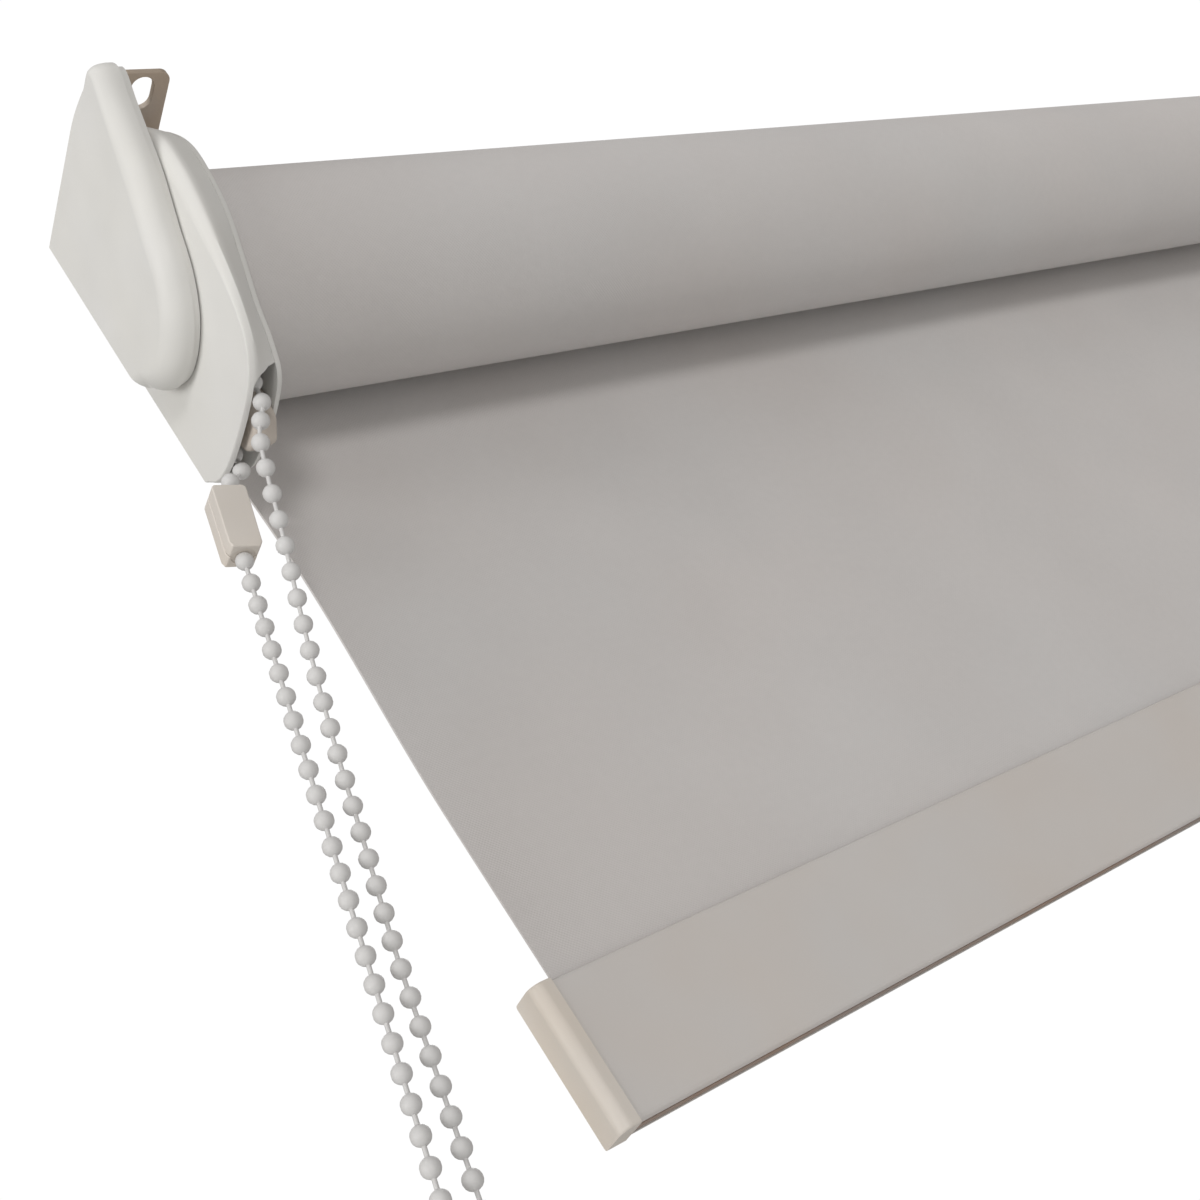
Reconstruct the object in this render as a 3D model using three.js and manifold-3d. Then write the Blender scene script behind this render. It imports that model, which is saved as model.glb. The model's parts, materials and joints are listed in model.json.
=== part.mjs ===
// Roller blind with a ball chain, for fixing under a window head.
// Millimetres. X runs along the roller, +Z is up, -Y faces the room.
// The origin is at mid-width on the plane that the two top flanges are screwed to.
import * as THREE from 'three';
import { mergeVertices } from 'three/addons/utils/BufferGeometryUtils.js';
import Module from 'manifold-3d';

const wasm = await Module();
wasm.setup();

// ---- driving dimensions ----
const WIDTH = 600;            // outer face to outer face of the end covers
const AXIS_Z = -33;           // roller axis under the mounting plane
const GAP = 0.3;              // clearance between pieces that touch

const COVER_DEPTH = 6.2;      // bracket cover, along X
const COVER_BACK = 11;
const COVER_ROUND = 5;        // rounding of its front rim
const PLATE_X = 6.5;          // steel side plate
const STEEL = 1.5;
const FLANGE_END = 21.8;      // inner end of the top flange
const FLANGE_FRONT = -39.6;
const HOLES_Y = [-34, 8];      // slots in the flange
const PLATE_BACK = 20;

const HOUSE_X = 8.3;          // clutch housing, outer face
const HOUSE_END = 17.4;
const WALL_X = 17.7;          // inner wall of the housing
const WALL_END = 19.1;
const HOUSE_BACK = 21;
const HOUSE_TOP = 30.5;
const WALL = 1.5;

const CHAIN_X = 12.7;         // plane of the sprocket
const BALL = 4.2;
const WHEEL_R = 11.46;        // 12 balls at 6 mm
const PULLEY_R = 6.37;

const TUBE_R = 22.5;
const TUBE_WALL = 1.2;
const ROLL_R = 27.7;          // wound fabric
const CLOTH_X = 19.5;         // edge of the fabric from the outer face
const CLOTH_Y = 28;           // front of the hanging fabric
const CLOTH_T = 0.75;

const RAIL_X = 17.9;          // end of the aluminium rail from the outer face
const CAP_X = 12.8;           // outer face of the rail's end cap
const RAIL_TOP = -182.7;      // from the roller axis
const RAIL_H = 34;
const RAIL_T = 8.8;
const RAIL_Y = 29.98;          // middle of the rail
const SLIT_Y = CLOTH_Y + CLOTH_T / 2;

const PULLEY = [-42.8, 19.7, -286.3];       // centre, from the outer face and the axis
const BACK_PLANE = 38;        // face that the chain tensioner is screwed to

// ---- materials ----
const white = (name) => paint(name, 0xe4e2dc, 0.45, 0);
const colours = {
  steel: [0x8f8678, 0.42, 0.9], aluminium: [0xc9cacb, 0.38, 0.9], cloth: [0xa5a29e, 0.85, 0],
  cream: [0xd7cec3, 0.5, 0], ball: [0xe0dedb, 0.35, 0], dark: [0x5f5048, 0.7, 0],
  zinc: [0xb9b6ae, 0.3, 1], black: [0x2b2b2b, 0.5, 0], grey: [0x8d8f91, 0.5, 0],
};
function paint(name, colour, roughness, metalness) {
  const m = new THREE.MeshStandardMaterial({ color: colour, roughness, metalness });
  m.name = name + '_mat';
  return m;
}

// ---- solids ----
const toX = new THREE.Matrix4().set(0, 0, 1, 0, 1, 0, 0, 0, 0, 1, 0, 0, 0, 0, 0, 1);

function clean(geometry) {
  const g = geometry.clone();
  g.deleteAttribute('normal');
  g.deleteAttribute('uv');
  return mergeVertices(g, 1e-4);
}
function solid(geometry) {
  const g = clean(geometry);
  const mesh = new wasm.Mesh({
    numProp: 3,
    vertProperties: new Float32Array(g.attributes.position.array),
    triVerts: new Uint32Array(g.index.array),
  });
  return new wasm.Manifold(mesh);
}
function fromSolid(s) {
  const m = s.getMesh();
  const g = new THREE.BufferGeometry();
  g.setAttribute('position', new THREE.BufferAttribute(new Float32Array(m.vertProperties), 3));
  g.setIndex(new THREE.BufferAttribute(new Uint32Array(m.triVerts), 1));
  return g;
}
function cut(body, ...tools) {
  let s = solid(body);
  for (const t of tools) s = s.subtract(solid(t));
  return fromSolid(s);
}
function join(...bodies) {
  let s = solid(bodies[0]);
  for (const b of bodies.slice(1)) s = s.add(solid(b));
  return fromSolid(s);
}
function box(x0, x1, y0, y1, z0, z1) {
  const g = new THREE.BoxGeometry(x1 - x0, y1 - y0, z1 - z0);
  return g.translate((x0 + x1) / 2, (y0 + y1) / 2, (z0 + z1) / 2);
}
// a flat shape in the side view (y, z), carried along X
function prism(points, x0, x1, holes = []) {
  const shape = new THREE.Shape(points.map((p) => new THREE.Vector2(p[0], p[1])));
  for (const h of holes) shape.holes.push(new THREE.Path(h.map((p) => new THREE.Vector2(p[0], p[1]))));
  const g = new THREE.ExtrudeGeometry(shape, { depth: x1 - x0, bevelEnabled: false });
  return g.applyMatrix4(toX).translate(x0, 0, 0);
}
// a profile of [radius, x] turned about a line along X through (y, z)
function turned(profile, y, z, n) {
  const pts = profile.map((p) => new THREE.Vector2(p[0], p[1]));
  const g = new THREE.LatheGeometry(pts, n);
  g.rotateZ(-Math.PI / 2);
  return g.translate(0, y, z);
}
function ring(ro, ri, x0, x1, n) {
  return turned([[ri, x0], [ro, x0], [ro, x1], [ri, x1], [ri, x0]], 0, AXIS_Z, n);
}
function rod(r, x0, x1, y, z, n) {
  return turned([[0, x0], [r, x0], [r, x1], [0, x1]], y, z, n);
}
// a skin over outlines at several x, each with the same number of points
function loft(levels) {
  const n = levels[0].points.length;
  const pos = [];
  const idx = [];
  for (const l of levels) for (const p of l.points) pos.push(l.x, p[0], p[1]);
  for (let k = 0; k + 1 < levels.length; k++) {
    for (let i = 0; i < n; i++) {
      const a = k * n + i;
      const b = k * n + ((i + 1) % n);
      idx.push(a, b, b + n, a, b + n, a + n);
    }
  }
  const flat = (l) => l.points.map((p) => new THREE.Vector2(p[0], p[1]));
  const first = THREE.ShapeUtils.triangulateShape(flat(levels[0]), []);
  const last = THREE.ShapeUtils.triangulateShape(flat(levels[levels.length - 1]), []);
  const top = (levels.length - 1) * n;
  for (const t of first) idx.push(t[0], t[2], t[1]);
  for (const t of last) idx.push(top + t[0], top + t[1], top + t[2]);
  const g = new THREE.BufferGeometry();
  g.setAttribute('position', new THREE.BufferAttribute(new Float32Array(pos), 3));
  g.setIndex(idx);
  const area = THREE.ShapeUtils.area(flat(levels[0]));
  if (area < 0) flip(g);
  return g;
}
function flip(g) {
  const a = g.index.array;
  for (let i = 0; i < a.length; i += 3) {
    const t = a[i + 1];
    a[i + 1] = a[i + 2];
    a[i + 2] = t;
  }
  return g;
}
function mirrored(geometry) {
  const g = clean(geometry);
  g.scale(-1, 1, 1);
  return flip(g);
}

const group = new THREE.Group();
function place(name, geometry, look, dx = 0) {
  const g = clean(geometry);
  g.translate(dx, 0, 0);
  g.computeVertexNormals();
  const spec = colours[look];
  const mat = spec ? paint(name, spec[0], spec[1], spec[2]) : white(name);
  const mesh = new THREE.Mesh(g, mat);
  mesh.name = name;
  group.add(mesh);
  return mesh;
}
const LEFT = -WIDTH / 2;
const RIGHT = WIDTH / 2;
// the left end is drawn with x measured from its outer face, the right end is its mirror image
const left = (name, geometry, look) => place(name, geometry, look, LEFT);
const right = (name, geometry, look) => place(name, mirrored(geometry), look, RIGHT);

// ---- outlines in the side view, measured from the roller axis ----
function smooth(points, count) {
  const curve = new THREE.CatmullRomCurve3(points.map((p) => new THREE.Vector3(p[0], p[1], 0)));
  return curve.getSpacedPoints(count).map((p) => [p.x, p.y]);
}
// the curved edge runs from the top edge round the front to the back edge;
// `round` pulls that edge in, `trim` pulls in the straight top and back edges
function outline(edge, back, top, round, trim) {
  const n = edge.length;
  const pts = [[back - trim, top - trim + AXIS_Z]];
  for (let i = 0; i < n; i++) {
    const a = edge[Math.max(0, i - 1)];
    const b = edge[Math.min(n - 1, i + 1)];
    const len = Math.hypot(b[0] - a[0], b[1] - a[1]);
    const ny = -(b[1] - a[1]) / len;
    const nz = (b[0] - a[0]) / len;
    let y = edge[i][0] + ny * round;
    let z = edge[i][1] + nz * round;
    if (i === 0) {
      y = edge[0][0] + round * 0.6;
      z = top - trim;
    }
    if (i === n - 1) {
      y = back - trim;
      z = edge[i][1] + round;
    }
    pts.push([Math.min(y, back - trim), Math.min(z, top - trim) + AXIS_Z]);
  }
  return pts;
}
const rounding = (r, x) => (x >= r ? 0 : r - Math.sqrt(r * r - (r - x) * (r - x)));
const blend = (a, b, t) => a.map((p, i) => [p[0] + (b[i][0] - p[0]) * t, p[1] + (b[i][1] - p[1]) * t]);

const COVER_EDGE = smooth([
  [-36, 32.6], [-41, 31.8], [-43.4, 28], [-40.9, 20.7], [-38, 13.5], [-34.2, 4.2], [-27.6, -7.2],
  [-22.7, -15.9], [-17, -21.8], [-11.7, -24.8], [-5, -26.4], [1.7, -25.9], [7.5, -22.9], [11, -18.5],
], 30);
const HOUSE_EDGE = smooth([
  [-21, 30.5], [-29, 26], [-34.5, 19], [-37.8, 10], [-37.6, 0], [-35.8, -9], [-31.8, -23], [-26.8, -35],
  [-22.3, -41.7], [-16, -45.6], [-7, -47.3], [10, -47.3], [17, -45.3], [21, -41.5],
], 34);
const INNER_EDGE = smooth([
  [-20, 30.5], [-27, 25.5], [-32, 19.2], [-34.5, 11.5], [-34.1, 2.6], [-31.9, -7.4], [-27.3, -17],
  [-21.5, -27.5], [-18, -36], [-13.8, -42.4], [-6.3, -44.8], [8, -45], [16, -43.4], [21, -39.5],
], 34);

// ---- steel bracket ----
function bracketGeometry() {
  const top = -AXIS_Z;
  const edge = COVER_EDGE.filter((p) => p[1] < 31.5);
  const back = COVER_BACK - 0.6;
  const side = outline(edge, back, top, 2.2, 0);
  side[0] = [back, 0];
  side[1] = [FLANGE_FRONT, 0];
  side.splice(2, 0, [FLANGE_FRONT, -5.5]);
  const plate = prism(side, PLATE_X, PLATE_X + STEEL);
  const f = new THREE.Shape();
  const r = 2.5;
  f.moveTo(PLATE_X, FLANGE_FRONT);
  f.lineTo(FLANGE_END - r, FLANGE_FRONT);
  f.absarc(FLANGE_END - r, FLANGE_FRONT + r, r, -Math.PI / 2, 0, false);
  f.lineTo(FLANGE_END, PLATE_BACK - r);
  f.absarc(FLANGE_END - r, PLATE_BACK - r, r, 0, Math.PI / 2, false);
  f.lineTo(PLATE_X, PLATE_BACK);
  const flange = new THREE.ExtrudeGeometry(f, { depth: STEEL, bevelEnabled: false, curveSegments: 5 });
  flange.translate(0, 0, -STEEL);
  const cuts = [];
  for (const y of HOLES_Y) cuts.push(slot(15.3, y - 1.5, y + 1.5, 2.9, -STEEL - 1, 1));
  cuts.push(rod(2.7, PLATE_X - 1, PLATE_X + STEEL + 1, 0, AXIS_Z, 20));
  for (const p of RIVETS) cuts.push(rod(1.8, PLATE_X - 1, PLATE_X + STEEL + 1, p[0], p[1] + AXIS_Z, 14));
  return cut(join(plate, flange), ...cuts);
}
function slot(x, y0, y1, r, z0, z1) {
  const s = new THREE.Shape();
  s.moveTo(x + r, y0);
  s.lineTo(x + r, y1);
  s.absarc(x, y1, r, 0, Math.PI, false);
  s.lineTo(x - r, y0);
  s.absarc(x, y0, r, Math.PI, 2 * Math.PI, false);
  const g = new THREE.ExtrudeGeometry(s, { depth: z1 - z0, bevelEnabled: false, curveSegments: 8 });
  return g.translate(0, 0, z0);
}
const RIVETS = [[-21, 12], [2, -14.5]];

// ---- bracket cover: a hollow cap with a rounded front rim ----
function coverGeometry() {
  const top = -AXIS_Z - 0.4;
  const xs = [0, 0.35, 1.1, 2.2, 3.6, COVER_ROUND, COVER_DEPTH];
  const body = loft(xs.map((x) => ({
    x, points: outline(COVER_EDGE, COVER_BACK, top, rounding(COVER_ROUND, x), 0),
  })));
  const hollow = [1.8, COVER_DEPTH + 1].map((x) => ({
    x, points: outline(COVER_EDGE, COVER_BACK, top, 2.6, 1.6),
  }));
  return cut(body, loft(hollow));
}

// ---- clutch housing: a shell open at the bottom for the chain ----
function housingGeometry(open) {
  const span = HOUSE_END - HOUSE_X;
  const at = (x, round, trim) => {
    const t = Math.max(0, (x - 3) / (span - 3));
    const a = outline(HOUSE_EDGE, HOUSE_BACK, HOUSE_TOP, round, trim);
    const b = outline(INNER_EDGE, HOUSE_BACK, HOUSE_TOP, round, trim);
    return blend(a, b, t);
  };
  const xs = [0, 0.3, 0.9, 1.8, 3, 6, span];
  const body = loft(xs.map((x) => ({ x: HOUSE_X + x, points: at(x, rounding(3, x), 0) })));
  const hollow = [1.5, 3, span + 1].map((x) => ({ x: HOUSE_X + x, points: at(x, WALL, WALL) }));
  const tools = [loft(hollow), rod(2.7, HOUSE_X - 1, HOUSE_X + 4, 0, AXIS_Z, 20)];
  for (const p of RIVETS) tools.push(rod(1.8, HOUSE_X - 1, HOUSE_X + 4, p[0], p[1] + AXIS_Z, 14));
  if (open) {
    const mouth = [[-16.5, -60], [17, -60], [17, -40], [13, -37], [-11, -37], [-16.5, -42.5]];
    const shifted = mouth.map((p) => [p[0], p[1] + AXIS_Z]);
    tools.push(prism(shifted, HOUSE_X + 0.8, HOUSE_END + 1));
  }
  return cut(body, ...tools);
}
function wallGeometry(bore) {
  const body = loft([WALL_X, WALL_END].map((x) => ({
    x, points: outline(INNER_EDGE, HOUSE_BACK, HOUSE_TOP, 0, 0),
  })));
  return cut(body, rod(bore, WALL_X - 1, WALL_END + 1, 0, AXIS_Z, 36));
}

// ---- fixed parts of the control end ----
left('bracket_left', bracketGeometry(), 'steel');
left('cover_left', coverGeometry(), 'white');
left('clutch_housing', housingGeometry(true), 'white');
left('clutch_inner_wall', wallGeometry(15.4), 'white');

const guide = [[-6.2, -16], [6.2, -16], [6.6, -42], [5.2, -47.5], [0, -50.5], [-5.2, -47.5], [-6.6, -42]];
left('chain_guide', prism(guide.map((p) => [p[0], p[1] + AXIS_Z]), 11.3, 17.4), 'cream');

const core = turned([
  [2.8, 10.1], [8, 10.1], [8, 10.4], [7, 10.4], [7, 47], [9.6, 47], [9.6, 49], [2.8, 49], [2.8, 10.1],
], 0, AXIS_Z, 32);
left('clutch_core', core, 'black');
const bolt = turned([[0, 3.2], [5, 3.2], [5, 6.2], [2.5, 6.2], [2.5, 52], [0, 52]], 0, AXIS_Z, 24);
left('clutch_axle', bolt, 'zinc');
RIVETS.forEach((p, i) => {
  const rivet = turned([[0, 5], [3, 5], [3, 6.2], [1.5, 6.2], [1.5, 10.1], [3, 10.1], [3, 11], [0, 11]],
    p[0], p[1] + AXIS_Z, 16);
  left('clutch_rivet_' + (i + 1), rivet, 'zinc');
});

// brake springs, close-wound on the core
class Coil extends THREE.Curve {
  constructor(x0, x1, r, turns) {
    super();
    Object.assign(this, { x0, x1, r, turns });
  }
  getPoint(t) {
    const a = 2 * Math.PI * this.turns * t;
    const x = this.x0 + (this.x1 - this.x0) * t;
    return new THREE.Vector3(x, this.r * Math.cos(a), AXIS_Z + this.r * Math.sin(a));
  }
}
function wire(curve, r, steps, sides) {
  const s = new THREE.Shape();
  for (let i = 0; i < sides; i++) {
    const a = (2 * Math.PI * i) / sides;
    if (i === 0) s.moveTo(r, 0);
    else s.lineTo(r * Math.cos(a), r * Math.sin(a));
  }
  return new THREE.ExtrudeGeometry(s, { steps, extrudePath: curve, bevelEnabled: false });
}
left('brake_spring_1', wire(new Coil(23, 31, 8.3, 4), 0.7, 64, 6), 'zinc');
left('brake_spring_2', wire(new Coil(35, 43, 8.3, 4), 0.7, 64, 6), 'zinc');

// ---- roller ----
const rim = WHEEL_R + 1.4;
const groove = WHEEL_R - BALL / 2 - 1.2;
const sprocket = turned([
  [7.4, CHAIN_X - 2.1], [groove, CHAIN_X - 2.1], [groove, CHAIN_X + 2.7], [rim, CHAIN_X + 2.7],
  [rim, CHAIN_X + 3.6], [7.4, CHAIN_X + 3.6], [7.4, CHAIN_X - 2.1],
], 0, AXIS_Z, 36);
left('sprocket', sprocket, 'white');
const hub = turned([
  [10.2, 16.7], [14.8, 16.7], [14.8, 21], [20.9, 21], [20.9, 50], [19, 52], [10.2, 52], [10.2, 16.7],
], 0, AXIS_Z, 40);
const keyway = box(20, 53, -2.6, 2.6, AXIS_Z + 19.3, AXIS_Z + 23);
left('drive_hub', cut(hub, keyway), 'grey');

const tubeIn = TUBE_R - TUBE_WALL;
const tubeRing = ring(TUBE_R, tubeIn, LEFT + CLOTH_X, RIGHT - CLOTH_X, 48);
const key = box(LEFT + CLOTH_X, RIGHT - CLOTH_X, -2, 2, AXIS_Z + 19.7, AXIS_Z + 21.8);
place('roller_tube', join(tubeRing, key), 'aluminium');
place('fabric_roll', ring(ROLL_R, TUBE_R + GAP, LEFT + CLOTH_X, RIGHT - CLOTH_X, 72), 'cloth');

// idle end: plug in the tube, sprung pin in the plug, socket on the bracket
const plug = turned([
  [3.6, 20.6], [20.9, 20.6], [20.9, 50], [19, 52], [8, 52], [8, 26], [3.6, 26], [3.6, 20.6],
], 0, AXIS_Z, 40);
right('idle_plug', cut(plug, keyway), 'grey');
const pin = turned([
  [0, 11], [2.6, 11], [3.2, 11.8], [3.2, 27], [6.4, 27], [6.4, 29], [2, 29], [2, 44], [0, 44],
], 0, AXIS_Z, 24);
right('idle_pin', pin, 'zinc');
right('pin_spring', wire(new Coil(30.3, 50.6, 4.8, 6), 0.5, 72, 6), 'zinc');
const stop = turned([[2.4, 51.7], [7.7, 51.7], [7.7, 53.5], [2.4, 53.5], [2.4, 51.7]], 0, AXIS_Z, 24);
right('spring_stop', stop, 'zinc');

// ---- fixed parts of the idle end ----
right('bracket_right', bracketGeometry(), 'steel');
right('cover_right', coverGeometry(), 'white');
right('idle_housing', housingGeometry(false), 'white');
right('idle_wall', wallGeometry(9.5), 'white');
const socket = turned([
  [3.6, 10.1], [9, 10.1], [9, 19.8], [3.6, 19.8], [3.6, 10.1],
], 0, AXIS_Z, 28);
right('idle_socket', socket, 'black');
RIVETS.forEach((p, i) => {
  const rivet = turned([[0, 5], [3, 5], [3, 6.2], [1.5, 6.2], [1.5, 10.1], [3, 10.1], [3, 11], [0, 11]],
    p[0], p[1] + AXIS_Z, 16);
  right('idle_rivet_' + (i + 1), rivet, 'zinc');
});
const idleBolt = turned([[0, 3.2], [5, 3.2], [5, 6.2], [2.5, 6.2], [2.5, 10.7], [0, 10.7]], 0, AXIS_Z, 24);
right('idle_bolt', idleBolt, 'zinc');

// ---- hanging fabric and bottom rail ----
const railTop = AXIS_Z + RAIL_TOP;
const railBottom = railTop - RAIL_H;
place('fabric_drop',
  box(LEFT + CLOTH_X, RIGHT - CLOTH_X, CLOTH_Y, CLOTH_Y + CLOTH_T, railTop - 5, AXIS_Z), 'cloth');

function railOutline(grow) {
  const y0 = RAIL_Y - RAIL_T / 2 - grow;
  const y1 = RAIL_Y + RAIL_T / 2 + grow;
  const z0 = railBottom - grow;
  const z1 = railTop + grow;
  const c = 1.3;
  return [
    [y0 + c, z0], [y1 - c, z0], [y1 - 0.4, z0 + 0.4], [y1, z0 + c], [y1, z1 - c], [y1 - 0.4, z1 - 0.4],
    [y1 - c, z1], [y0 + c, z1], [y0 + 0.4, z1 - 0.4], [y0, z1 - c], [y0, z0 + c], [y0 + 0.4, z0 + 0.4],
  ];
}
const bay = (z0, z1) => [
  [RAIL_Y - 3.2, z0], [RAIL_Y + 3.2, z0], [RAIL_Y + 3.2, z1], [RAIL_Y - 3.2, z1],
];
const railBody = prism(railOutline(0), LEFT + RAIL_X, RIGHT - RAIL_X,
  [bay(railBottom + 3, railTop - 13), bay(railTop - 11.5, railTop - 4)]);
const mouth = box(LEFT, RIGHT, SLIT_Y - 0.8, SLIT_Y + 0.8, railTop - 5, railTop + 1);
const under = box(LEFT, RIGHT, RAIL_Y - 2.6, RAIL_Y + 2.8, railBottom - 1, railBottom + 1.4);
place('bottom_rail', cut(railBody, mouth, under), 'aluminium');
place('rail_strip',
  box(LEFT + RAIL_X, RIGHT - RAIL_X, RAIL_Y - 1.2, RAIL_Y + 1.4, railBottom + 0.1, railBottom + 1.1),
  'dark');
place('hem_rod', rod(1.2, LEFT + CLOTH_X, RIGHT - CLOTH_X, SLIT_Y, railTop - 8, 12), 'grey');

function capGeometry() {
  const grown = railOutline(0.35);
  const front = RAIL_Y - RAIL_T / 2 - 0.35;
  const depth = RAIL_X - CAP_X - GAP;
  const body = loft([0, 0.4, 1.2, 2.2, depth].map((x) => ({
    x: CAP_X + x, points: grown.map((p) => [Math.max(p[0], front + rounding(2.2, x)), p[1]]),
  })));
  const tongue = box(CAP_X + depth - 1, RAIL_X + 8, RAIL_Y - 2.9, RAIL_Y + 2.9,
    railBottom + 3.4, railTop - 13.4);
  return join(body, tongue);
}
left('rail_cap_left', capGeometry(), 'cream');
right('rail_cap_right', capGeometry(), 'cream');

// ---- ball chain: one closed loop, joined in the connector ----
const V = (x, y, z) => new THREE.Vector3(x, y, z);
const tilt = V(-0.955, -0.2, 0.208).normalize();
const P = V(PULLEY[0], PULLEY[1], PULLEY[2]);
const frontEnd = P.clone().addScaledVector(tilt, -PULLEY_R);
const rearEnd = P.clone().addScaledVector(tilt, PULLEY_R);
const rearTop = V(3.3, 8.8, -54.5);
const rearWay = rearEnd.clone().sub(rearTop).normalize();
const CLIP_TOP = 0.9;         // start of the connector below rearTop
const CLIP_LENGTH = 17.6;

function chainPoints() {
  const pts = [];
  const start = rearTop.clone().addScaledVector(rearWay, CLIP_TOP + CLIP_LENGTH / 2);
  pts.push(start);
  for (const d of [4, 0.5]) pts.push(rearTop.clone().addScaledVector(rearWay, d));
  pts.push(V(6.5, 9.4, -51.7), V(11.2, 10.2, -48.6), V(12.5, 10.8, -44.5), V(12.6, 11.2, -39));
  pts.push(V(CHAIN_X, WHEEL_R, -30), V(CHAIN_X, WHEEL_R, -15));
  for (let i = 0; i <= 8; i++) {
    const a = (Math.PI * i) / 8;
    pts.push(V(CHAIN_X, WHEEL_R * Math.cos(a), WHEEL_R * Math.sin(a)));
  }
  pts.push(V(CHAIN_X, -WHEEL_R, -15), V(CHAIN_X, -WHEEL_R, -30), V(12.6, -11.3, -39));
  pts.push(V(12.4, -11, -44), V(11.3, -10.8, -48.6), V(6.7, -10.2, -56.4), V(3.1, -1.8, -78.5));
  pts.push(V(-0.9, 5.9, -101), V(-5.6, 10.6, -124), V(-10.6, 13, -147), V(-16.2, 14.4, -170));
  pts.push(V(-21, 15.7, -194), V(-25.6, 17, -217.5), V(-31.5, 19, -252));
  for (let i = 0; i <= 8; i++) {
    const a = (Math.PI * i) / 8;
    const p = P.clone().addScaledVector(tilt, -PULLEY_R * Math.cos(a));
    pts.push(p.addScaledVector(rearWay, PULLEY_R * Math.sin(a)));
  }
  for (const t of [0.15, 0.3, 0.45, 0.6, 0.75]) pts.push(rearEnd.clone().lerp(start, t));
  pts.push(start.clone().addScaledVector(rearWay, 3));
  return pts.map((p) => V(p.x, p.y, p.z + AXIS_Z));
}
class Run extends THREE.Curve {
  constructor(points) {
    super();
    this.curve = new THREE.CatmullRomCurve3(points, false, 'centripetal');
  }
  getPoint(t) {
    return this.curve.getPointAt(Math.min(1, Math.max(0, t)));
  }
}
left('chain', wire(new Run(chainPoints()), BALL / 2, 170, 8), 'ball');

// connector: two halves that close round the chain
function alongChain(geometry, at) {
  const z = rearWay.clone().negate();
  const x = V(1, 0, 0).addScaledVector(z, -z.x).normalize();
  const y = z.clone().cross(x);
  const m = new THREE.Matrix4().makeBasis(x, y, z);
  m.setPosition(at.x, at.y, at.z + AXIS_Z);
  return geometry.applyMatrix4(m);
}
function clipHalf(side) {
  const y0 = side < 0 ? -3.8 : 0.1;
  const y1 = side < 0 ? -0.1 : 3.8;
  const h = CLIP_LENGTH / 2;
  const half = [
    [-4, h - 0.7], [-3.4, h], [3.4, h], [4, h - 0.7],
    [3.8, 1.2 - h], [3.2, -h], [-3.2, -h], [-3.8, 1.2 - h],
  ];
  const shape = new THREE.Shape(half.map((p) => new THREE.Vector2(p[0], p[1])));
  const body = new THREE.ExtrudeGeometry(shape, { depth: y1 - y0, bevelEnabled: false });
  body.rotateX(Math.PI / 2);
  body.translate(0, y1, 0);
  const bore = new THREE.CylinderGeometry(2.6, 2.6, 24, 20);
  bore.rotateX(Math.PI / 2);
  return cut(body, bore);
}
const clipAt = rearTop.clone().addScaledVector(rearWay, CLIP_TOP + CLIP_LENGTH / 2);
left('connector_front', alongChain(clipHalf(-1), clipAt), 'cream');
left('connector_back', alongChain(clipHalf(1), clipAt), 'cream');

// ---- chain tensioner: base screwed to the wall, wheel on a pin, cap ----
// its own frame: x across the wheel's axis, y along the axis, z up the chain
function atPulley(geometry) {
  const z = rearWay.clone().negate();
  const x = tilt.clone().addScaledVector(z, -tilt.dot(z)).normalize();
  const y = z.clone().cross(x);
  const m = new THREE.Matrix4().makeBasis(x, y, z);
  m.setPosition(P.x, P.y, P.z + AXIS_Z);
  return geometry.applyMatrix4(m);
}
function disc(profile, n) {
  return new THREE.LatheGeometry(profile.map((p) => new THREE.Vector2(p[0], p[1])), n);
}
const wheelIn = PULLEY_R - BALL / 2 - 0.4;
const wheel = disc([
  [2.4, -3.4], [PULLEY_R + 1.2, -3.4], [PULLEY_R + 1.2, -2.6], [wheelIn, -2.6], [wheelIn, 2.6],
  [PULLEY_R + 1.2, 2.6], [PULLEY_R + 1.2, 3.4], [2.4, 3.4], [2.4, -3.4],
], 32);
left('tension_wheel', atPulley(wheel), 'white');
const axle = disc([[0, -5.1], [2, -5.1], [2, 5.6], [3.6, 5.6], [3.6, 6.6], [0, 6.6]], 20);
left('tension_pin', atPulley(axle), 'zinc');

function plateShape(halfWidth, low, high) {
  const s = new THREE.Shape();
  s.moveTo(-halfWidth, high);
  s.lineTo(-halfWidth, low + halfWidth);
  s.absarc(0, low + halfWidth, halfWidth, Math.PI, 2 * Math.PI, false);
  s.lineTo(halfWidth, high);
  return s;
}
function cheek(y0, y1) {
  const g = new THREE.ExtrudeGeometry(plateShape(9.8, -9.8, 9),
    { depth: y1 - y0, bevelEnabled: false, curveSegments: 14 });
  g.rotateX(Math.PI / 2);
  g.translate(0, y1, 0);
  const hole = new THREE.CylinderGeometry(2.3, 2.3, 20, 18);
  return cut(g, hole);
}
left('tension_cap', atPulley(cheek(3.9, 5.3)), 'white');

// the base: the other cheek, an arm back to the wall, and a foot with two screw holes
function tensionBase() {
  const zc = P.z + AXIS_Z;
  const arm = atPulley(box(-7, 7, -24, -5.2, -9, 5));
  const foot = box(P.x - 9, P.x + 9, BACK_PLANE - 5, BACK_PLANE, zc - 38, zc + 9);
  const tools = [box(P.x - 60, P.x + 60, BACK_PLANE, BACK_PLANE + 60, zc - 90, zc + 90)];
  for (const dz of [-18, -31]) {
    const hole = new THREE.CylinderGeometry(2.2, 2.2, 60, 18);
    tools.push(hole.translate(P.x, BACK_PLANE, zc + dz));
    const sink = new THREE.CylinderGeometry(4.4, 2.2, 2.4, 20);
    sink.rotateX(Math.PI);
    tools.push(sink.translate(P.x, BACK_PLANE - 3.8, zc + dz));
  }
  return cut(join(atPulley(cheek(-5.5, -3.9)), arm, foot), ...tools);
}
left('tension_base', tensionBase(), 'white');

export default group;
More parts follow.
